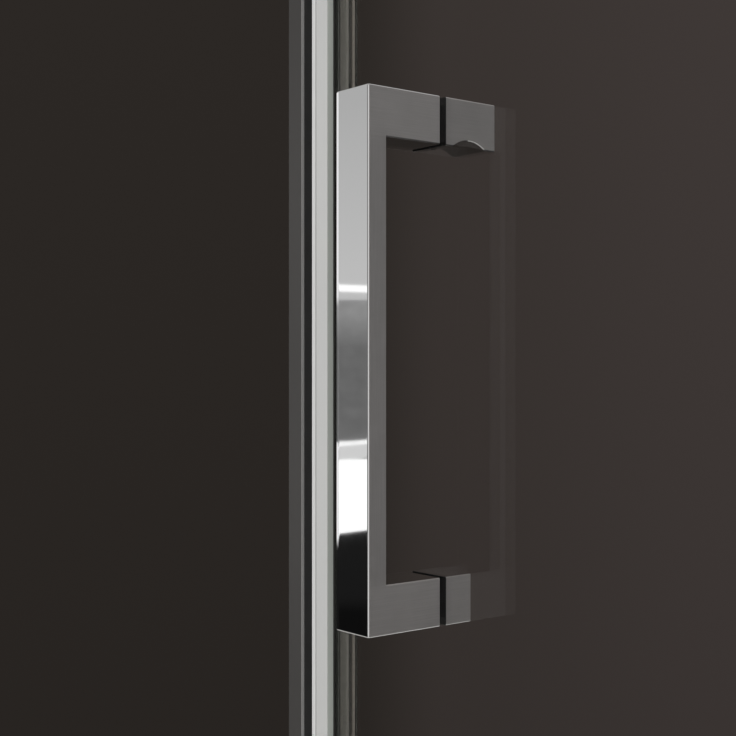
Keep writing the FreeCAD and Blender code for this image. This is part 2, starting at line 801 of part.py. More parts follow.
def handle_fasteners():
    studs = new_body("handle_studs")
    ends = new_sketch(studs, "XZ_Plane", ("0", "0", "arm_end + stud_outer_depth"))
    draw_handle_holes(ends, "stud_radius")
    pad(studs, ends, "2 * arm_end + stud_outer_depth + stud_inner_depth", back=True)
    grubs = new_body("handle_grub_screws")
    for arm in ("lower", "upper"):
        end = new_sketch(grubs, "XY_Plane", ("0", "0", f"{arm}_arm_level - arm_half + grub_recess"))
        draw_circle(end, "-handle_x", "arm_end + grub_inset", "grub_radius")
        pad(grubs, end, "arm_half - grub_recess - stud_bore")


# Clear seals on the edges of the glass

def leg_corners(sign, edge, way):
    """One leg of a seal, from its web to its beaded end and back along the glass."""
    return [
        (f"{sign}({edge} + seal_wall)", f"{way}leg_outside"),
        (f"{sign}({edge} - seal_leg + bead_length)", f"{way}leg_outside"),
        (f"{sign}({edge} - seal_leg + bead_length)", f"{way}bead_outside"),
        (f"{sign}({edge} - seal_leg)", f"{way}bead_outside"),
        (f"{sign}({edge} - seal_leg)", f"{way}glass_half"),
        (f"{sign}{edge}", f"{way}glass_half"),
    ]


def round_beads(body):
    """Rounds the outer edges of the beads at the ends of the legs."""
    outside = value("bead_outside")
    dress(body, "Fillet", "bead_round",
          lambda edge: stands(edge) and (lies_at(edge, y=outside) or lies_at(edge, y=-outside)))


def closing_seal():
    body = new_body("closing_edge_seal")
    section = new_sketch(body, "XY_Plane", ("0", "0", "seal_foot"))
    draw_outline(section, [
        *leg_corners("-", "strike_edge", "-"),
        *reversed(leg_corners("-", "strike_edge", "")),
        ("-strike_edge - seal_wall", "bulb_half"),
        ("-bulb_end", "bulb_half"),
        ("-bulb_end", "-bulb_half"),
        ("-strike_edge - seal_wall", "-bulb_half"),
    ])
    draw_rectangle(section, "bulb_wall - bulb_end", "bulb_wall - bulb_half",
                   "-strike_edge - seal_wall", "bulb_half - bulb_wall")
    pad(body, section, "glass_top - seal_foot")
    end, half = value("-bulb_end"), value("bulb_half")
    dress(body, "Fillet", "bulb_round",
          lambda edge: lies_at(edge, x=end, y=half) or lies_at(edge, x=end, y=-half))
    round_beads(body)
    nodes.append(add_box(
        "door_magnet_strip",
        ("bulb_inside - bulb_end", "bulb_inside - bulb_half", "glass_foot"),
        ("-strike_edge - seal_wall", "bulb_half - bulb_inside", "glass_top - magnet_end_gap"),
    ))


def hinge_seal():
    """The seal on the hinge edge, cut into three lengths that leave room for the hinges."""
    body = new_body("hinge_edge_seal")
    room = "plate_half + seal_hinge_gap"
    lengths = [
        ("seal_foot", f"lower_hinge_level - ({room})"),
        (f"lower_hinge_level + {room}", f"upper_hinge_level - ({room})"),
        (f"upper_hinge_level + {room}", "glass_top"),
    ]
    for low, high in lengths:
        section = new_sketch(body, "XY_Plane", ("0", "0", low))
        draw_outline(section, [
            *leg_corners("", "hinge_edge", ""),
            *reversed(leg_corners("", "hinge_edge", "-")),
            ("hinge_edge + seal_wall", "-nose_radius"),
            ("bulb_end - nose_radius", "-nose_radius", "nose_radius", "left"),
            ("bulb_end", "0", "nose_radius", "left"),
            ("bulb_end - nose_radius", "nose_radius"),
            ("hinge_edge + seal_wall", "nose_radius"),
        ])
        pad(body, section, f"{high} - ({low})")
    round_beads(body)


def bottom_sweep():
    body = new_body("bottom_sweep")
    section = new_sketch(body, "YZ_Plane", ("0", "0", "seal_leg + seal_joint_gap - strike_edge"))
    top = "glass_foot + sweep_leg"
    fin, tip = "fin_thickness / 2", "leg_outside + deflector_reach"
    draw_outline(section, [
        ("-glass_half", top),
        ("-glass_half", "glass_foot"),
        ("glass_half", "glass_foot"),
        ("glass_half", top),
        ("bead_outside", top),
        ("bead_outside", f"{top} - bead_length"),
        ("leg_outside", f"{top} - bead_length"),
        ("leg_outside", "glass_foot"),
        (tip, "sweep_web - deflector_drop"),
        (f"{tip} - fin_thickness", "sweep_web - deflector_drop"),
        ("leg_outside - fin_thickness", "sweep_web"),
        (fin, "sweep_web"),
        (fin, "sweep_tip"),
        (f"-{fin}", "sweep_tip"),
        (f"-{fin}", "sweep_web"),
        ("-leg_outside", "sweep_web"),
        ("-leg_outside", f"{top} - bead_length"),
        ("-bead_outside", f"{top} - bead_length"),
        ("-bead_outside", top),
    ])
    pad(body, section, "strike_edge + hinge_edge - 2 * (seal_leg + seal_joint_gap)")


# Hinge pieces that turn with the glass

def plate_corners(hinge, inset, notch_x, notch_half):
    """A clamp plate's outline: a rectangle with a notch in the side that faces the post."""
    level = f"{hinge}_hinge_level"
    left, right = f"plate_left + {inset}", f"plate_right - {inset}"
    low, high = f"{level} - plate_half + {inset}", f"{level} + plate_half - {inset}"
    return [
        (left, low),
        (right, low),
        (right, f"{level} - {notch_half}"),
        (notch_x, f"{level} - {notch_half}"),
        (notch_x, f"{level} + {notch_half}"),
        (right, f"{level} + {notch_half}"),
        (right, high),
        (left, high),
    ]


def clamp_plate(hinge, name):
    """A clamp plate with two lugs that reach to the middle of the glass and hold half of the pin."""
    body = new_body(f"{hinge}_hinge_{name}_plate")
    outer = name == "outer"
    seat = "plate_start" if outer else "-plate_start"
    level = f"{hinge}_hinge_level"
    plate = new_sketch(body, "XZ_Plane", ("0", "0", seat))
    draw_outline(plate, plate_corners(hinge, "0", "notch_x", "lug_start"))
    pad(body, plate, "plate_thickness", back=not outer)
    face = value("-plate_face" if outer else "plate_face")
    dress(body, "Chamfer", "plate_arris", lambda edge: lies_at(edge, y=face))
    lugs = new_sketch(body, "XZ_Plane", ("0", "0", seat))
    for low, high in (("- lug_end", "- lug_start"), ("+ lug_start", "+ lug_end")):
        right = "pin_x + knuckle_radius"
        draw_rectangle(lugs, "knuckle_nose", f"{level} {low}", right, f"{level} {high}")
    pad(body, lugs, "plate_start - lug_gap / 2", back=outer)
    groove = new_sketch(body, "XY_Plane", ("0", "0", level))
    draw_circle(groove, "pin_x", "0", "pin_radius + pin_seat_play")
    pocket(body, groove, side="Symmetric")
    holes = new_sketch(body, "XZ_Plane", ("0", "0", seat))
    draw_plate_holes(holes, "plate_screw_radius + screw_play", [hinge])
    pocket(body, holes, "plate_screw_grip + screw_play" if outer else None, back=outer)
    if not outer:
        dress(body, "Chamfer", "plate_screw_head - plate_screw_radius",
              lambda edge: is_round(edge) and lies_at(edge, y=face))


def plate_gaskets(name, start, back):
    body = new_body(f"hinge_{name}_gaskets")
    sheets = new_sketch(body, "XZ_Plane", ("0", "0", start))
    for hinge in hinges:
        draw_outline(sheets, plate_corners(hinge, "plate_gasket_inset", "cutout_x", "cutout_half"))
    draw_plate_holes(sheets, "plate_screw_radius + screw_play", hinges)
    pad(body, sheets, "plate_gasket", back=back)


def plate_screws():
    body = new_body("hinge_plate_screws")
    for hinge in hinges:
        for way in "+-":
            level = f"{hinge}_hinge_level {way} plate_screw_spacing / 2"
            half = new_sketch(body, "XY_Plane", ("plate_screw_x", "0", level))
            draw_outline(half, [
                ("0", "-plate_start - plate_screw_grip"),
                ("plate_screw_radius", "-plate_start - plate_screw_grip"),
                ("plate_screw_radius", "plate_face - plate_screw_head + plate_screw_radius"),
                ("plate_screw_head", "plate_face"),
                ("0", "plate_face"),
            ])
            revolve(body, half)


def hinge_pin(hinge):
    body = new_body(f"{hinge}_hinge_pin")
    half = new_sketch(body, "XZ_Plane", ("pin_x", f"{hinge}_hinge_level", "0"))
    draw_outline(half, [
        ("0", "-pin_half"),
        ("pin_radius - pin_bevel", "-pin_half"),
        ("pin_radius", "pin_bevel - pin_half"),
        ("pin_radius", "pin_half - pin_bevel"),
        ("pin_radius - pin_bevel", "pin_half"),
        ("0", "pin_half"),
    ])
    revolve(body, half)


for name, sign in (("strike", "-"), ("hinge", "")):
    wall_channel(name, sign)
    clamp_screws(name, sign)
strike_profile()
strike_fittings()
top_cap("strike", "-", "stop_end",
        ("groove_floor + profile_wall", "head_back - profile_wall",
         "profile_wall - head_front", "stop_back - profile_wall"))
hinge_post()
top_cap("hinge", "", "face", ("post_back", "guide_back - post_wall", "-post_inside", "post_inside"))
nut_plates()
bracket_screws()
threshold()
glass_pane()
handle_bar()
handle_gaskets("outer", "glass_half", back=False)
handle_gaskets("inner", "-glass_half", back=True)
inner_block("upper_inner_grip", "upper_arm_level", "grip_length",
            [("scallop_start", "scallop_radius", "right"), ("scallop_end",)])
inner_block("lower_inner_stub", "lower_arm_level", "stub_length", [])
handle_fasteners()
hole_sleeves("handle_hole_sleeves", draw_handle_holes, "handle_hole_radius", "stud_bore")
hole_sleeves("hinge_hole_sleeves", lambda sketch, radius: draw_plate_holes(sketch, radius, hinges),
             "hinge_hole_radius", "plate_screw_radius + screw_play")
closing_seal()
hinge_seal()
bottom_sweep()
for hinge in hinges:
    wall_bracket(hinge)
    bushes(hinge)
    hinge_pin(hinge)
    clamp_plate(hinge, "outer")
    clamp_plate(hinge, "inner")
plate_gaskets("outer", "glass_half", back=False)
plate_gaskets("inner", "-glass_half", back=True)
plate_screws()

doc.recompute()
for thing in doc.Objects:
    if "Invalid" in thing.State or "Error" in thing.State:
        raise ValueError(f"{thing.Label} failed")
for node in nodes:
    if node.Shape.isNull() or not node.Shape.isValid():
        raise ValueError(f"{node.Label} has no valid shape")
os.makedirs("parts", exist_ok=True)
for node in nodes:
    node.Shape.exportStep(f"parts/{node.Label}.step")
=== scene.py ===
import math
import bmesh
import bpy
from mathutils import Matrix, Vector


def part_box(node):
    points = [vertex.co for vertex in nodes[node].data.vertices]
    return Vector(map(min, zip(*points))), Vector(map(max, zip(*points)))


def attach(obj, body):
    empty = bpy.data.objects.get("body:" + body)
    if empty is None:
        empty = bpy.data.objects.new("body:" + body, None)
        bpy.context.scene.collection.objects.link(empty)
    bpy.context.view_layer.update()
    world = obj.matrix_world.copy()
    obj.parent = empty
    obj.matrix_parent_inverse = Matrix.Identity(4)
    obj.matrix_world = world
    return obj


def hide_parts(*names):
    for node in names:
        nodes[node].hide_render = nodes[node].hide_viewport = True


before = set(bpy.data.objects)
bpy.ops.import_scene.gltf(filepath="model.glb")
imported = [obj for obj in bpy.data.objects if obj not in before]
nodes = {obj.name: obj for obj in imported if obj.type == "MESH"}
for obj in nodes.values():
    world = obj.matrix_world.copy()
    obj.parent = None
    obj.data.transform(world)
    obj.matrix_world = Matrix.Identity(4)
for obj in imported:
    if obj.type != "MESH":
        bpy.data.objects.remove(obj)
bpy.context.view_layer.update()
scene = bpy.context.scene
print("frame loaded,", len(nodes), "nodes")

# Camera

cameraView = {
    "place": Vector((0.2812, -0.4929, 1.0461)),
    "tilt": 90,  # degrees: level
    "turn": 51.34,  # degrees from straight on, towards the wall channel
    "lens": 63.3,
    "sensor": 36,
    "nearest": 0.01,
}
camera = bpy.data.objects.new("camera", bpy.data.cameras.new("camera"))
camera.data.lens = cameraView["lens"]
camera.data.sensor_width = cameraView["sensor"]
camera.data.clip_start = cameraView["nearest"]
camera.location = cameraView["place"]
camera.rotation_euler = (math.radians(cameraView["tilt"]), 0, math.radians(cameraView["turn"]))
scene.collection.objects.link(camera)
scene.camera = camera
scene.view_settings.view_transform = "Standard"
print("camera set")

# Shader wiring

softDetail = 2.0  # how many octaves a noise adds
fineDetail = 3.0
gritDetail = 4.0
speckleDetail = 5.0
noiseMiddle = 0.5
oneBounce = 0.5  # a count of bounces above this is one or more


class Wire:
    # an output socket: sums on it add Math nodes
    def __init__(self, wiring, socket):
        self.wiring = wiring
        self.socket = socket

    def sum(self, operation, first, second):
        return self.wiring.node("ShaderNodeMath", {"operation": operation}, {0: first, 1: second})

    def __add__(self, other):
        return self.sum("ADD", self, other)

    def __radd__(self, other):
        return self.sum("ADD", other, self)

    def __sub__(self, other):
        return self.sum("SUBTRACT", self, other)

    def __rsub__(self, other):
        return self.sum("SUBTRACT", other, self)

    def __mul__(self, other):
        return self.sum("MULTIPLY", self, other)

    def __rmul__(self, other):
        return self.sum("MULTIPLY", other, self)

    def __truediv__(self, other):
        return self.sum("DIVIDE", self, other)

    def __gt__(self, other):
        return self.sum("GREATER_THAN", self, other)

    def __lt__(self, other):
        return self.sum("LESS_THAN", self, other)

    def __or__(self, other):
        return self.sum("MAXIMUM", self, other)

    def __and__(self, other):
        return self.sum("MINIMUM", self, other)

    def __abs__(self):
        return self.sum("ABSOLUTE", self, 0)


class Wiring:
    # a node tree, and the one way to add to it
    def __init__(self, tree):
        self.tree = tree

    def put(self, socket, value):
        if isinstance(value, Wire):
            self.tree.links.new(value.socket, socket)
        else:
            socket.default_value = value

    def node(self, kind, settings, values, output=0):
        made = self.tree.nodes.new(kind)
        for name, value in settings.items():
            setattr(made, name, value)
        for key, value in values.items():
            self.put(made.inputs[key], value)
        return Wire(self, made.outputs[output])

    def place(self):
        return self.node("ShaderNodeTexCoord", {}, {}, "Object")

    def axis(self, letter):
        return self.node("ShaderNodeSeparateXYZ", {}, {"Vector": self.place()}, letter)

    def noise(self, scale, detail=softDetail, shift=(0, 0, 0)):
        # scale is a frequency for each axis, in 1/m
        mapped = {"Vector": self.place(), "Location": shift, "Scale": scale}
        where = self.node("ShaderNodeMapping", {}, mapped)
        values = {"Vector": where, "Scale": 1.0, "Detail": detail}
        return self.node("ShaderNodeTexNoise", {}, values, "Fac")

    def mix(self, share, first, second):
        return self.node("ShaderNodeMix", {"data_type": "RGBA"}, {0: share, 6: first, 7: second}, 2)

    def ramp(self, value, start, stop, kind="SMOOTHSTEP"):
        # 0 up to start, 1 from stop on
        values = {"Value": value, "From Min": start, "From Max": stop}
        return self.node("ShaderNodeMapRange", {"interpolation_type": kind}, values)

    def bump(self, height, depth=1.0):
        # height is in metres where no depth is given
        return self.node("ShaderNodeBump", {}, {"Height": height, "Distance": depth}, "Normal")

    def ray(self, fact):
        return self.node("ShaderNodeLightPath", {}, {}, fact)

    def straight(self):
        # 1 for what is seen through the glass with no reflection on the way
        bounces = self.ray("Glossy Depth") + self.ray("Diffuse Depth")
        return self.ray("Is Transmission Ray") * (bounces < oneBounce)

    def sharp(self):
        # 1 for what the glass mirrors
        return self.ray("Is Singular Ray") * self.ray("Is Reflection Ray")


class Finish(Wiring):
    def __init__(self, name, values):
        self.material = bpy.data.materials.new(name)
        self.material.use_nodes = True
        super().__init__(self.material.node_tree)
        self.shader = self.tree.nodes["Principled BSDF"]
        self.set(values)

    def set(self, values):
        for key, value in values.items():
            self.put(self.shader.inputs[key], value)


def tone(red, green, blue):
    return (red, green, blue, 1.0)


def grey(level):
    return tone(level, level, level)


def spread(noise, width):
    # noise runs from 0 to 1, this from half of width below 0 to half above
    return (noise - noiseMiddle) * width


def dress(finish, *names):
    for name in names:
        nodes[name].data.materials.clear()
        nodes[name].data.materials.append(finish.material)


# Satin aluminium of the wall profiles: fine lines left by the extrusion die

satinBase = {
    "cloud": (9, 9, 5),
    "lineShare": 0.6,
    "lineDepth": 0.000006,
    "lineRoughness": 0.10,
    "cloudRoughness": 0.06,
    "bandLines": 0.4,  # how much the lines show in a painted light band
}
# painted shade: the wall channels are the satin metal made dark, standing in for the shadow that the wall
# beside them casts
shadedSatin = {
    **satinBase,
    "tones": (tone(0.100, 0.096, 0.092), tone(0.126, 0.120, 0.116)),
    "metal": 0.4,
    "roughness": 0.44,
    "lines": (1500, 1500, 1.5),
    "paintedLightBands": [(0, 0.3865, 1, tone(0.37, 0.365, 0.36))],  # painted highlight on the end faces of the lips beside the opening
}
lightSatin = {
    **satinBase,
    "tones": (tone(0.78, 0.78, 0.765), tone(0.86, 0.86, 0.845)),
    "metal": 0.12,
    "roughness": 0.40,
    "lines": (1700, 1700, 1.5),
    "paintedLightBands": [  # painted light bands: where they start and end across, how far in they reach, and their tone
        (0.3770, 0.3803, 1, tone(0.97, 0.97, 0.96)),  # painted highlight on the rib at the back of the face
        (0.3757, 0.3770, 1, tone(0.53, 0.53, 0.52)),  # painted shade in the groove beside it
        (0, 0.3642, 0.004, tone(0.66, 0.70, 0.65)),  # painted shade, and a painted green reflection of the glass edge, on the side towards the door
    ],
}
thresholdSatin = {**lightSatin, "lines": (1.5, 1700, 1700), "paintedLightBands": []}


def satinAluminium(name, look):
    finish = Finish(name, {"Metallic": look["metal"]})
    lines = finish.noise(look["lines"], fineDetail)
    cloud = finish.noise(look["cloud"])
    x, y = finish.axis("X"), finish.axis("Y")
    share = lines * look["lineShare"] + cloud * (1 - look["lineShare"])
    colour = finish.mix(share, *look["tones"])
    unevenness = 1 - look["bandLines"] / 2 + lines * look["bandLines"]
    # the bands paint highlight and shade over the metal's own colour, uneven along the die lines
    for near, far, inside, shade in look["paintedLightBands"]:
        band = (abs(x) > near) * (abs(x) < far) * (y < inside)
        colour = finish.mix(band * unevenness, colour, shade)
    rough = look["roughness"] + spread(lines, look["lineRoughness"])
    finish.set({
        "Base Color": colour,
        "Roughness": rough + spread(cloud, look["cloudRoughness"]),
        "Normal": finish.bump(lines, look["lineDepth"]),
    })
    return finish


dress(satinAluminium("shade_darkened_satin_aluminium", shadedSatin), "strike_wall_channel", "hinge_wall_channel")
dress(satinAluminium("light_satin_aluminium", lightSatin), "strike_adjusting_profile", "hinge_post")
dress(satinAluminium("threshold_satin_aluminium", thresholdSatin), "threshold_bar")

# Handle metal: polished front and arrises, brushed sides

handleLow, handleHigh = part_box("handle_bar")
handleLook = {
    "centre": (handleLow.x + handleHigh.x) / 2,
    "half": (handleHigh.x - handleLow.x) / 2,
    "middle": (handleLow.z + handleHigh.z) / 2,
    "rise": (handleHigh.z - handleLow.z) / 2,
    "arm": 0.0275,
    "barBack": -0.0436,
    "polished": grey(0.88),
    "polishedRoughness": 0.035,
    "smear": (35, 35, 12),
    "smearShift": (3, 1, 2),
    "smearRoughness": 0.03,
    "arris": grey(0.60),  # milled, so a little duller
    "arrisWidth": 0.0007,
    "brushedTones": (tone(0.405, 0.387, 0.381), tone(0.675, 0.644, 0.634)),
    "brushedRoughness": 0.34,
    "streakRoughness": 0.16,
    "streakShare": 0.7,
    "cloud": (60, 60, 60),
    "along": 30,
    "across": 4200,
    "brushDepth": 0.000012,
    "sideMargin": 0.00015,
    "barPaintedShade": 0.25,  # painted shade: the bar darker than the arms; the bar was brushed upright, the arms level
    # painted shade: the blocks inside the glass darker than the outside parts
    "insidePaintedShade": 0.2,
    "turn": 0.008,  # over which one brushing goes over to the other
    "turnStart": 0.7,  # the share of it that lies on the bar
    "seat": 0.0001 - handleHigh.y,  # the sides on the pads are left as cast, and painted near black as shade where they sit against the pads
    "seatShadeTone": tone(0.035, 0.035, 0.034),
    "seatRoughness": 0.6,
    "innerEdge": 0.0007,  # the arrises inside the grip are brushed
    "topEdge": handleHigh.z - 0.002,  # and so are the upper ones of the inside block
    "underArmShadeTone": tone(0.11, 0.105, 0.104),  # painted shade on the inside arrises under the upper arm
    "rollWidth": 0.0035,  # how far in from its closing side the buffed front falls away
    "rollDepth": 0.00018,
    "brimStart": 0.0013,  # and from its other side, just before the arris
    "brimWidth": 0.0007,
    "brimDepth": 0.00005,
}


def handleMetal(look):
    finish = Finish("handle_metal", {"Metallic": 1.0})
    x, y, z = (finish.axis(letter) for letter in "XYZ")
    off = abs(x - look["centre"])
    level = abs(z - look["middle"]) - look["rise"] + look["arm"]
    outermost = off > look["half"] - look["innerEdge"]
    inner = outermost * (level < look["innerEdge"]) * (y > look["barBack"])
    topEdge = outermost * (y > 0) * (z > look["topEdge"])
    side = (off > look["half"] - look["sideMargin"]) | inner | topEdge
    arms = ((level / look["turn"] + look["turnStart"]) | 0) & 1

    upright = finish.noise((1, look["across"], look["along"]), gritDetail)
    crosswise = finish.noise((1, look["along"], look["across"]), gritDetail)
    streaks = upright * (1 - arms) + crosswise * arms
    cloud = finish.noise(look["cloud"])
    smear = finish.noise(look["smear"], fineDetail, look["smearShift"])
    share = streaks * look["streakShare"] + cloud * (1 - look["streakShare"])
    # painted shade on the bar and on the inside blocks
    share = share - (1 - arms) * look["barPaintedShade"] - (y > 0) * look["insidePaintedShade"]
    brushed = finish.mix(share, *look["brushedTones"])
    # painted shade under the upper arm
    brushed = finish.mix(inner * (z > look["topEdge"] - look["arm"]), brushed, look["underArmShadeTone"])
    seat = abs(y) < look["seat"]
    ends = (y < handleLow.y + look["arrisWidth"]) | (y > 0)
    arris = (off > look["half"] - look["arrisWidth"]) * ends
    bright = finish.mix(arris, look["polished"], look["arris"])

    rough = look["brushedRoughness"] + spread(streaks, look["streakRoughness"])
    shine = look["polishedRoughness"] + spread(smear, look["smearRoughness"])
    edge = (look["centre"] - look["half"] + look["rollWidth"] - x) | 0
    roll = edge * edge * (look["rollDepth"] / look["rollWidth"] ** 2)
    brim = ((x - look["centre"] - look["half"] + look["brimStart"]) | 0) & look["brimWidth"]
    roll = roll + brim * brim * (look["brimDepth"] / look["brimWidth"] ** 2)
    finish.set({
        "Base Color": finish.mix(seat, finish.mix(side, bright, brushed), look["seatShadeTone"]),
        "Roughness": (rough * side + shine * (1 - side)) | seat * look["seatRoughness"],
        "Normal": finish.bump(streaks * side * look["brushDepth"] - roll * (1 - side)),
    })
    return finish


dress(handleMetal(handleLook), "handle_bar", "upper_inner_grip", "lower_inner_stub")

# Polished hinge metal with the faint waves of a buffing wheel

hingeChrome = {
    "tones": (grey(0.80), grey(0.87)),
    "roughness": 0.09,
    "waves": (70, 70, 25),
    "waveDepth": 0.00012,
    "hairlines": (900, 900, 25),
    "hairlineRoughness": 0.08,
}


def polishedHinge(look):
    finish = Finish("polished_hinge_metal", {"Metallic": 1.0})
    waves = finish.noise(look["waves"])
    hairlines = finish.noise(look["hairlines"], fineDetail)
    finish.set({
        "Base Color": finish.mix(waves, *look["tones"]),
        "Roughness": look["roughness"] + spread(hairlines, look["hairlineRoughness"]),
        "Normal": finish.bump(waves, look["waveDepth"]),
    })
    return finish


dress(
    polishedHinge(hingeChrome),
    "upper_hinge_outer_plate", "upper_hinge_inner_plate",
    "lower_hinge_outer_plate", "lower_hinge_inner_plate",
    "upper_hinge_wall_bracket", "lower_hinge_wall_bracket",
)

# Turned steel of pins, studs and screws, and the plated nut plates

steelLook = {
    "tones": (tone(0.46, 0.455, 0.45), tone(0.60, 0.595, 0.59)),
    "roughness": 0.30,
    "rings": (160, 160, 2600),
    "ringRoughness": 0.18,
    "ringDepth": 0.000008,
}
platedLook = {
    **steelLook,
    "tones": (tone(0.42, 0.43, 0.44), tone(0.62, 0.62, 0.60)),
    "roughness": 0.38,
    "rings": (240, 240, 240),
}


def turnedSteel(name, look):
    finish = Finish(name, {"Metallic": 1.0})
    rings = finish.noise(look["rings"], fineDetail)
    finish.set({
        "Base Color": finish.mix(rings, *look["tones"]),
        "Roughness": look["roughness"] + spread(rings, look["ringRoughness"]),
        "Normal": finish.bump(rings, look["ringDepth"]),
    })
    return finish


turned = turnedSteel("turned_steel", steelLook)
dress(turned, "upper_hinge_pin", "lower_hinge_pin", "handle_studs")
dress(turnedSteel("plated_steel", platedLook), "hinge_nut_plates")

# Rubber, nylon, magnet and the moulded caps

mouldedBase = {
    "cloud": (40, 40, 15),
    "grainShare": 0.5,
    "grainRoughness": 0.20,
    "grainDepth": 0.00003,
    "sheen": 0.5,
}
rubberLook = {
    **mouldedBase,
    "tones": (grey(0.018), tone(0.034, 0.033, 0.033)),
    "roughness": 0.62,
    "grain": (2600, 2600, 900),
}
padLook = {
    **mouldedBase,
    "tones": (grey(0.003), grey(0.007)),
    "roughness": 0.7,
    "grain": (2600, 900, 2600),
    "sheen": 0.05,
}
nylonLook = {
    **mouldedBase,
    "tones": (tone(0.70, 0.70, 0.66), tone(0.80, 0.80, 0.77)),
    "roughness": 0.45,
    "grain": (700, 700, 700),
    "grainDepth": 0.00002,
}
magnetLook = {
    **mouldedBase,
    "tones": (tone(0.045, 0.044, 0.041), tone(0.065, 0.063, 0.059)),
    "roughness": 0.66,
    "grain": (900, 900, 60),
}
capLook = {
    **mouldedBase,
    "tones": (tone(0.045, 0.044, 0.043), tone(0.075, 0.073, 0.072)),
    "roughness": 0.52,
    "grain": (1500, 1500, 1500),
    "grainDepth": 0.00006,
}


def mouldedPlastic(name, look):
    finish = Finish(name, {"Metallic": 0.0, "Specular IOR Level": look["sheen"]})
    grain = finish.noise(look["grain"], gritDetail)
    cloud = finish.noise(look["cloud"])
    share = grain * look["grainShare"] + cloud * (1 - look["grainShare"])
    finish.set({
        "Base Color": finish.mix(share, *look["tones"]),
        "Roughness": look["roughness"] + spread(grain, look["grainRoughness"]),
        "Normal": finish.bump(grain, look["grainDepth"]),
    })
    return finish


dress(
    mouldedPlastic("black_rubber", rubberLook),
    "strike_channel_gaskets", "hinge_outer_gaskets", "hinge_inner_gaskets",
)
dress(mouldedPlastic("black_pad", padLook), "handle_outer_gaskets", "handle_inner_gaskets")
dress(
    mouldedPlastic("natural_nylon", nylonLook),
    "upper_hinge_bushes", "lower_hinge_bushes", "handle_hole_sleeves", "hinge_hole_sleeves",
)
dress(mouldedPlastic("magnet_rubber", magnetLook), "strike_magnet_strip", "door_magnet_strip")
dress(mouldedPlastic("grained_cap_plastic", capLook), "strike_top_cap", "hinge_top_cap")

# Clear glass, greener where its cut edges show

glassLook = {
    "face": (tone(0.982, 0.990, 0.986), tone(0.966, 0.978, 0.972)),
    "film": (14, 14, 9),
    "edge": tone(0.62, 0.78, 0.71),
    "edgeRoughness": 0.06,
    "edgeMargin": 0.00005,
    "coating": grey(0.1),  # it mirrors little
    "half": 0.004,
    "bend": 1.5,  # index of refraction
}


def clearGlass(look):
    finish = Finish("clear_glass", {
        "Transmission Weight": 1.0,
        "IOR": look["bend"],
        "Specular Tint": look["coating"],
    })
    edge = abs(finish.axis("Y")) < look["half"] - look["edgeMargin"]
    film = finish.noise(look["film"], fineDetail)
    finish.set({
        "Base Color": finish.mix(edge, finish.mix(film, *look["face"]), look["edge"]),
        "Roughness": edge * look["edgeRoughness"],
    })
    return finish


dress(clearGlass(glassLook), "glass_pane")
nodes["glass_pane"].visible_shadow = False

# Soft clear plastic of the seals, slightly milky, with lines along its length

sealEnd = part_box("closing_edge_seal")[1].x
sealLook = {
    "tones": (tone(0.65, 0.63, 0.585), tone(0.74, 0.72, 0.67)),
    "lines": (1200, 1200, 2),
    "lineShare": 0.5,
    "lineRoughness": 0.12,
    "lineDepth": 0.00002,
    "haze": (30, 30, 8),
    "pocketTone": tone(0.20, 0.20, 0.18),  # darker over the magnet pocket
    "pocketEnd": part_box("door_magnet_strip")[1].x,
    "beadTone": tone(1.0, 0.98, 0.92),  # the thick beads along the rims catch more light
    "beadFace": 0.0053,
    "cutEndShadeTone": tone(0.10, 0.095, 0.087),  # painted shade on the cut ends of the legs
    "cutEnd": 0.00008 - sealEnd,
    "rearShare": 1,
    # painted highlight: the rear leg lighter than the front one
    "rearHighlightTone": tone(0.92, 0.87, 0.81),
    "rearLine": (sealEnd - 0.0049, sealEnd - 0.0032),  # painted shade: a darker line along the rear leg
    "rearShadeLineTone": tone(0.47, 0.44, 0.40),
    # painted shade on the cut end of the rear leg
    "rearCutShadeTone": tone(0.04, 0.04, 0.036),
    "rearCutEnd": 0.0006 - sealEnd,
    "sheen": grey(0.12),
    "clearness": 0.975,
    "roughness": 0.22,
    "bend": 1.46,  # index of refraction
}
sweepLook = {
    **sealLook,
    "tones": (tone(0.88, 0.87, 0.84), tone(0.95, 0.94, 0.91)),
    "lines": (2, 1200, 1200),
    "clearness": 0.9,
    "cutEnd": 0,
    "rearShare": 0,
}


def clearSeal(name, look):
    finish = Finish(name, {
        "Transmission Weight": look["clearness"],
        "IOR": look["bend"],
        "Specular Tint": look["sheen"],
    })
    x, y = finish.axis("X"), finish.axis("Y")
    lines = finish.noise(look["lines"], fineDetail)
    haze = finish.noise(look["haze"])
    rear = (y > 0) * look["rearShare"]
    start, stop = look["rearLine"]
    share = lines * look["lineShare"] + haze * (1 - look["lineShare"])
    colour = finish.mix(share, *look["tones"])
    # painted highlight on the rear leg, and painted shade on a line along it
    colour = finish.mix(rear, colour, look["rearHighlightTone"])
    colour = finish.mix(rear * (x > start) * (x < stop), colour, look["rearShadeLineTone"])
    colour = finish.mix(abs(y) > look["beadFace"], colour, look["beadTone"])
    # painted shade on the cut ends of the legs, darker still on the rear one
    colour = finish.mix(abs(x) < look["cutEnd"], colour, look["cutEndShadeTone"])
    colour = finish.mix(rear * (abs(x) < look["rearCutEnd"]), colour, look["rearCutShadeTone"])
    finish.set({
        "Base Color": finish.mix(x < look["pocketEnd"], colour, look["pocketTone"]),
        "Roughness": look["roughness"] + spread(lines, look["lineRoughness"]),
        "Normal": finish.bump(lines, look["lineDepth"]),
    })
    return finish


dress(clearSeal("clear_seal", sealLook), "closing_edge_seal", "hinge_edge_seal")
dress(clearSeal("clear_sweep", sweepLook), "bottom_sweep")
for name in ("closing_edge_seal", "hinge_edge_seal", "bottom_sweep"):
    nodes[name].visible_shadow = False
print("finishes done")

# Screws with hexagon sockets, in place of the plain ones

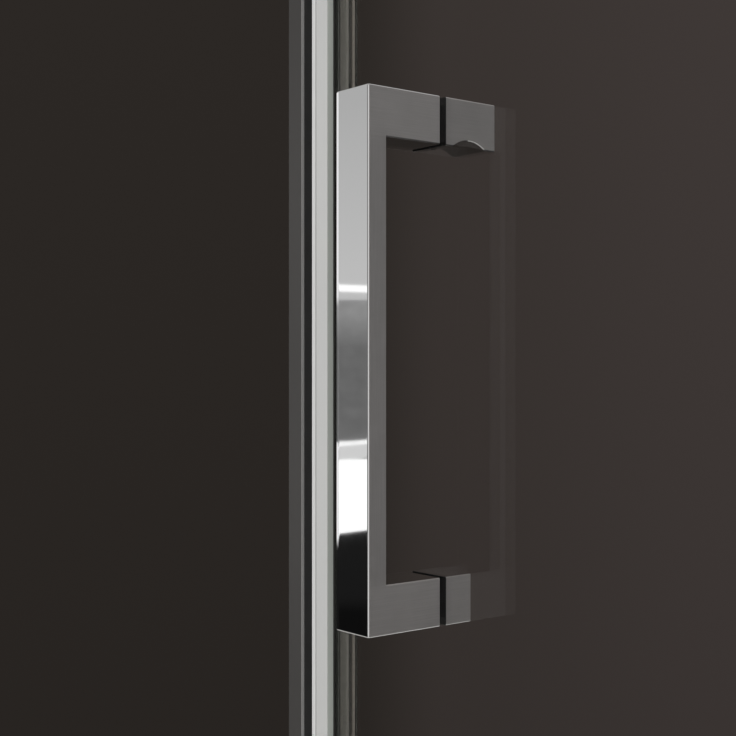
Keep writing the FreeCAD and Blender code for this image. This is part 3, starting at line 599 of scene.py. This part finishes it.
screwCut = {
    "segments": 48,
    "corner": math.radians(60),  # from one corner of the socket to the next
    "crease": math.radians(28),  # sharper edges stay hard
}


def ringRun(mesh, edges, rings):
    # extrudes a rim through rings of (radius, z) and closes the last one
    for radius, z in rings:
        made = bmesh.ops.extrude_edge_only(mesh, edges=edges)["geom"]
        for vert in (part for part in made if isinstance(part, bmesh.types.BMVert)):
            vert.co = Vector((vert.co.x, vert.co.y, 0)).normalized() * radius + Vector((0, 0, z))
        edges = [part for part in made if isinstance(part, bmesh.types.BMEdge)]
    bmesh.ops.contextual_create(mesh, geom=edges)


def socketScrew(look):
    # top at z = 0, shank downwards
    mesh = bmesh.new()
    radius = look["rings"][0][0]
    bmesh.ops.create_circle(mesh, cap_ends=True, segments=screwCut["segments"], radius=radius)
    rim = list(mesh.edges)
    top = mesh.faces[:][0]
    apothem = look["socket"] / 2
    bmesh.ops.inset_individual(mesh, faces=[top], thickness=radius - apothem)
    for vert in top.verts:
        angle = math.atan2(vert.co.y, vert.co.x) % screwCut["corner"] - screwCut["corner"] / 2
        vert.co = Vector((vert.co.x, vert.co.y, 0)).normalized() * (apothem / math.cos(angle))
    floor = bmesh.ops.extrude_discrete_faces(mesh, faces=[top])["faces"][0]
    bmesh.ops.translate(mesh, verts=floor.verts, vec=(0, 0, -look["socketDepth"]))
    ringRun(mesh, rim, look["rings"][1:])
    bmesh.ops.recalc_face_normals(mesh, faces=mesh.faces)
    for edge in mesh.edges:
        edge.smooth = edge.calc_face_angle(0) < screwCut["crease"]
    for face in mesh.faces:
        face.smooth = True
    made = bpy.data.meshes.new("one_screw")
    mesh.to_mesh(made)
    mesh.free()
    return made


def screwSet(name, body, look):
    one = socketScrew(look)
    turn = Vector((0, 0, 1)).rotation_difference(Vector(look["faces"])).to_matrix().to_4x4()
    mesh = bmesh.new()
    for place in look["places"]:
        before = len(mesh.verts)
        mesh.from_mesh(one)
        mesh.verts.ensure_lookup_table()
        bmesh.ops.transform(mesh, matrix=Matrix.Translation(place) @ turn, verts=mesh.verts[before:])
    data = bpy.data.meshes.new(name)
    mesh.to_mesh(data)
    mesh.free()
    bpy.data.meshes.remove(one)
    data.materials.append(turned.material)
    piece = bpy.data.objects.new(name, data)
    scene.collection.objects.link(piece)
    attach(piece, body)
    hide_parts(look["node"])


def middleOf(node, axis):
    return sum(corner[axis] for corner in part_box(node)) / 2


screwPlaces = {
    "clampOff": 0.3925,  # from the middle of the opening
    "clampFace": 0.0152,
    "clampLevels": (0.125, 0.975, 1.825),
    "hingeLevels": (0.250, 1.700),
    "bracketReach": 0.032,  # below and above the middle of a hinge
    "plateReach": 0.030,
    "plateFace": 0.013,
    "grubLevels": (0.9015, 1.1740),
}


def clampRow(x):
    return [(x, screwPlaces["clampFace"], level) for level in screwPlaces["clampLevels"]]


def hingePairs(x, y, reach):
    levels = screwPlaces["hingeLevels"]
    return [(x, y, level + side * reach) for level in levels for side in (-1, 1)]


def grubPair(x, y):
    return [(x, y, level) for level in screwPlaces["grubLevels"]]


clampScrew = {
    "rings": [  # radius and height, from the top down
        (0.0021, 0), (0.0028, -0.0003), (0.0033, -0.0010), (0.0035, -0.0018), (0.0035, -0.0022),
        (0.0020, -0.0022), (0.0020, -0.0082),
    ],
    "socket": 0.0025,
    "socketDepth": 0.0013,
    "faces": (0, 1, 0),
}
screwLooks = {
    "strike_clamp_screw_set": ("frame", {
        **clampScrew,
        "node": "strike_clamp_screws",
        "places": clampRow(-screwPlaces["clampOff"]),
    }),
    "hinge_clamp_screw_set": ("frame", {
        **clampScrew,
        "node": "hinge_clamp_screws",
        "places": clampRow(screwPlaces["clampOff"]),
    }),
    "hinge_bracket_screw_set": ("frame", {
        "node": "hinge_bracket_screws",
        "rings": [(0.00455, 0), (0.0047, -0.0001), (0.0025, -0.0022), (0.0025, -0.0120)],
        "socket": 0.003,
        "socketDepth": 0.0019,
        "faces": (-1, 0, 0),
        "places": hingePairs(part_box("hinge_bracket_screws")[0].x, 0, screwPlaces["bracketReach"]),
    }),
    "hinge_plate_screw_set": ("door_leaf", {
        "node": "hinge_plate_screws",
        "rings": [(0.00565, 0), (0.0058, -0.0001), (0.0030, -0.0028), (0.0030, -0.0230)],
        "socket": 0.004,
        "socketDepth": 0.0024,
        "faces": (0, 1, 0),
        "places": hingePairs(
            middleOf("hinge_plate_screws", 0), screwPlaces["plateFace"], screwPlaces["plateReach"]
        ),
    }),
    "handle_grub_screw_set": ("door_leaf", {
        "node": "handle_grub_screws",
        "rings": [(0.0013, 0), (0.0015, -0.0002), (0.0015, -0.0080), (0.0013, -0.0082)],
        "socket": 0.0015,
        "socketDepth": 0.0014,
        "faces": (0, 0, -1),
        "places": grubPair(handleLook["centre"], middleOf("handle_grub_screws", 1)),
    }),
}
for name, (body, look) in screwLooks.items():
    screwSet(name, body, look)
print("screws done,", len(screwLooks), "sets")

# Floor, world and lamps

floorLook = {
    "radius": 2.6,
    "segments": 128,
    "fade": (1.5, 2.5),  # from the middle, where it starts and ends
    "tone": tone(0.74, 0.73, 0.71),
    "roughness": 0.55,
}


def stageMesh(name, mesh, material):
    data = bpy.data.meshes.new(name)
    mesh.to_mesh(data)
    mesh.free()
    data.materials.append(material)
    made = bpy.data.objects.new(name, data)
    scene.collection.objects.link(made)
    return made


def layFloor(look):
    mesh = bmesh.new()
    bmesh.ops.create_circle(mesh, cap_ends=True, segments=look["segments"], radius=look["radius"])
    finish = Finish("pale_floor", {"Base Color": look["tone"], "Roughness": look["roughness"]})
    x, y = finish.axis("X"), finish.axis("Y")
    reach = finish.node("ShaderNodeMath", {"operation": "SQRT"}, {0: x * x + y * y})
    matt = Wire(finish, finish.shader.outputs[0])
    clear = finish.node("ShaderNodeBsdfTransparent", {}, {})
    faded = {0: finish.ramp(reach, *look["fade"]), 1: matt, 2: clear}
    surface = finish.tree.nodes["Material Output"].inputs["Surface"]
    finish.put(surface, finish.node("ShaderNodeMixShader", {}, faded))
    stageMesh("floor", mesh, finish.material)


layFloor(floorLook)

worldLook = {
    "fill": grey(0.66),  # what lights plain surfaces
    "behind": [tone(0.0230, 0.0193, 0.0168), tone(0.0392, 0.0319, 0.0291), tone(0.046, 0.037, 0.0345)],
    "changes": [(-0.02, 0.06), (0.06, 0.28)],  # from one tone behind the glass to the next, left to right
    "falloff": 0.35,  # how much darker it is there lower down
    "across": Vector((0.625, 0.781, 0)),
    "sight": Vector((-0.781, 0.625, 0)),
    "studio": tone(0.30, 0.295, 0.29),  # away from there
    "sightEdge": (0.35, 0.88),
    "mirrored": [  # where metal sees another tone
        (Vector((0.6, -0.8, 0)), 0.1, 0.7, tone(0.17, 0.167, 0.164)),
        (Vector((0, 1, 0)), 0.87, 0.98, tone(0.17, 0.167, 0.164)),
        (Vector((0, 0, 1)), 0.75, 0.95, tone(0.17, 0.167, 0.164)),
        (Vector((0, -1, 0)), 0.93, 0.995, tone(0.46, 0.455, 0.45)),
    ],
}


def makeWorld(look):
    world = bpy.data.worlds.new("studio")
    world.use_nodes = True
    scene.world = world
    wiring = Wiring(world.node_tree)
    plainly = wiring.ray("Diffuse Depth") < oneBounce
    seen = (wiring.ray("Is Camera Ray") | wiring.straight()) * plainly
    shows = (wiring.ray("Is Glossy Ray") | wiring.ray("Is Transmission Ray") | seen) * plainly
    metal = (wiring.ray("Glossy Depth") > oneBounce) * plainly
    way = wiring.node("ShaderNodeTexCoord", {}, {}, "Generated")

    def along(direction, start, stop):
        product = {"operation": "DOT_PRODUCT"}
        dot = wiring.node("ShaderNodeVectorMath", product, {0: way, 1: direction}, "Value")
        return wiring.ramp(dot, start, stop)

    behind = look["behind"][0]
    for limits, shade in zip(look["changes"], look["behind"][1:]):
        behind = wiring.mix(along(look["across"], *limits), behind, shade)
    aside = seen * (1 - along(look["sight"], *look["sightEdge"]))
    behind = wiring.mix(aside, behind, look["studio"])
    for direction, start, stop, shade in look["mirrored"]:
        behind = wiring.mix(metal * along(direction, start, stop), behind, shade)
    rise = wiring.node("ShaderNodeSeparateXYZ", {}, {"Vector": way}, "Z")
    background = world.node_tree.nodes["Background"]
    wiring.put(background.inputs["Color"], wiring.mix(shows, look["fill"], behind))
    wiring.put(background.inputs["Strength"], 1 + shows * (1 - aside) * rise * look["falloff"])


makeWorld(worldLook)

lampLooks = {
    "front_right": {
        "place": (1.75, -2.55, 1.35),
        "aim": (-0.2, 0, 1.1),
        "size": (1.8, 2.9),
        "glow": 0.80,
        "throughGlass": False,
    },
    "overhead": {
        "place": (-1.3, 1.1, 3.3),
        "aim": (-0.5, 0.3, 1.0),
        "size": (4.0, 2.4),
        "glow": 0.45,
        "throughGlass": True,
    },
}
panelLook = {"place": (2.3, 2.0, 1.4), "aim": (-0.28, 0, 1.05), "size": (2.4, 2.6), "glow": 0.232}


def aimAt(look):
    aim = Vector(look["aim"]) - Vector(look["place"])
    return Matrix.Translation(look["place"]) @ aim.to_track_quat("-Z", "Y").to_matrix().to_4x4()


def hangLamps(looks):
    for name, look in looks.items():
        lamp = bpy.data.lights.new(name, "AREA")
        lamp.shape = "RECTANGLE"
        lamp.size, lamp.size_y = look["size"]
        lamp.energy = look["glow"] * math.pi * lamp.size * lamp.size_y
        made = bpy.data.objects.new(name, lamp)
        made.matrix_world = aimAt(look)
        made.visible_transmission = look["throughGlass"]
        scene.collection.objects.link(made)


def stagePlane(name, matrix, size, shade):
    # not seen itself, nor in or straight through the glass: shade gives its shader
    mesh = bmesh.new()
    bmesh.ops.create_grid(mesh, x_segments=1, y_segments=1, size=0.5)  # half of a side
    bmesh.ops.transform(mesh, matrix=matrix @ Matrix.Diagonal((*size, 1, 1)), verts=mesh.verts)
    material = bpy.data.materials.new(name)
    material.use_nodes = True
    wiring = Wiring(material.node_tree)
    clear = wiring.node("ShaderNodeBsdfTransparent", {}, {})
    unseen = wiring.straight() | wiring.sharp()
    surface = wiring.node("ShaderNodeMixShader", {}, {0: unseen, 1: shade(wiring), 2: clear})
    wiring.put(material.node_tree.nodes["Material Output"].inputs["Surface"], surface)
    plane = stageMesh(name, mesh, material)
    plane.visible_camera = False
    plane.visible_shadow = False
    return plane


def panelShade(wiring):
    return wiring.node("ShaderNodeEmission", {}, {"Color": grey(panelLook["glow"])})


hangLamps(lampLooks)
stagePlane("right_rear_panel", aimAt(panelLook), panelLook["size"], panelShade)

# Cards that the polished front of the handle looks at: reach is from its face, roll in degrees,
# fade the two heights between which the glow goes over to another one, and that one

cardBase = {
    "reach": 1.065,
    "aside": 0,
    "width": 0.16,
    "roll": 0,
    "unevenness": 0,  # how much the speckles show
    "speckles": (55, 55, 55),
}
rimBase = {**cardBase, "aside": 0.165}
cardLooks = {
    "wide_grey": {
        **cardBase, "reach": 1.75, "low": 0.9, "high": 1.64, "width": 0.34,
        "glow": 0.562, "fade": (1.23, 1.56, 0.452),
    },
    "white_band": {**cardBase, "low": 1.1504, "high": 1.160, "glow": 1.2, "roll": 2},
    "mid_grey": {
        **cardBase, "low": 0.9464, "high": 1.1394, "unevenness": 0.5,
        "glow": 0.152, "fade": (1.075, 1.122, 0.288),
    },
    "thin_white": {**cardBase, "reach": 1.06, "low": 0.9404, "high": 0.9464, "glow": 1.1, "roll": -5},
    "soft_white": {**cardBase, "low": 0.9211, "high": 0.9404, "glow": 0.68, "roll": -6},
    "white": {**cardBase, "low": 0.80, "high": 0.9211, "glow": 1.2, "roll": -1.5},
    "black": {
        **cardBase, "reach": 1.06, "low": 0.60, "high": 0.8206, "roll": -7,
        "glow": 0.004, "fade": (0.712, 0.732, 0.0095),
    },
    "upper_rim_white": {**rimBase, "low": 1.115, "high": 1.43, "glow": 0.30, "fade": (1.131, 1.1455, 0.9)},
    "middle_rim_grey": {**rimBase, "low": 0.9435, "high": 1.115, "glow": 0.15, "fade": (1.08, 1.115, 0.27)},
    "lower_rim_white": {**rimBase, "low": 0.797, "high": 0.9435, "glow": 0.02, "fade": (0.799, 0.812, 0.9)},
    "lowest_rim_black": {**rimBase, "low": 0.60, "high": 0.797, "glow": 0.009},
}


def cardGlow(look):
    def shade(wiring):
        start, stop, far = look.get("fade", (0, 1, look["glow"]))
        share = wiring.ramp(wiring.axis("Z"), start, stop, "LINEAR")
        glow = wiring.mix(share, grey(look["glow"]), grey(far))
        strength = 1 + spread(wiring.noise(look["speckles"], speckleDetail), look["unevenness"])
        return wiring.node("ShaderNodeEmission", {}, {"Color": glow, "Strength": strength})
    return shade


def hangCards(looks):
    front = Vector((handleLook["centre"], handleLow.y, 0))
    sight = front - cameraView["place"] * Vector((1, 1, 0))
    away = Vector((sight.x, -sight.y, 0)).normalized()  # as the front mirrors it
    across = Vector((away.y, -away.x, 0))
    turn = (-away).to_track_quat("Z", "Y").to_matrix().to_4x4()
    for name, look in looks.items():
        middle = front + away * look["reach"] + across * look["aside"]
        middle.z = (look["low"] + look["high"]) / 2
        roll = Matrix.Rotation(math.radians(look["roll"]), 4, "Z")
        size = (look["width"], look["high"] - look["low"])
        place = Matrix.Translation(middle) @ turn @ roll
        card = stagePlane(name + "_card", place, size, cardGlow(look))
        card.visible_transmission = False


hangCards(cardLooks)

# Dark flag under the finger scallop, which would mirror the pale floor: only its top shows

flagLook = {
    "middle": (-0.33425, 0.07, 1.145),
    "size": (0.1515, 0.115),
    "tone": tone(0.022, 0.0187, 0.0168),
}


def flagShade(wiring):
    dark = wiring.node("ShaderNodeEmission", {}, {"Color": flagLook["tone"]})
    clear = wiring.node("ShaderNodeBsdfTransparent", {}, {})
    under = wiring.node("ShaderNodeNewGeometry", {}, {}, "Backfacing")
    return wiring.node("ShaderNodeMixShader", {}, {0: under, 1: dark, 2: clear})


flag = stagePlane("dark_flag", Matrix.Translation(flagLook["middle"]), flagLook["size"], flagShade)
flag.visible_diffuse = False
print("stage done")
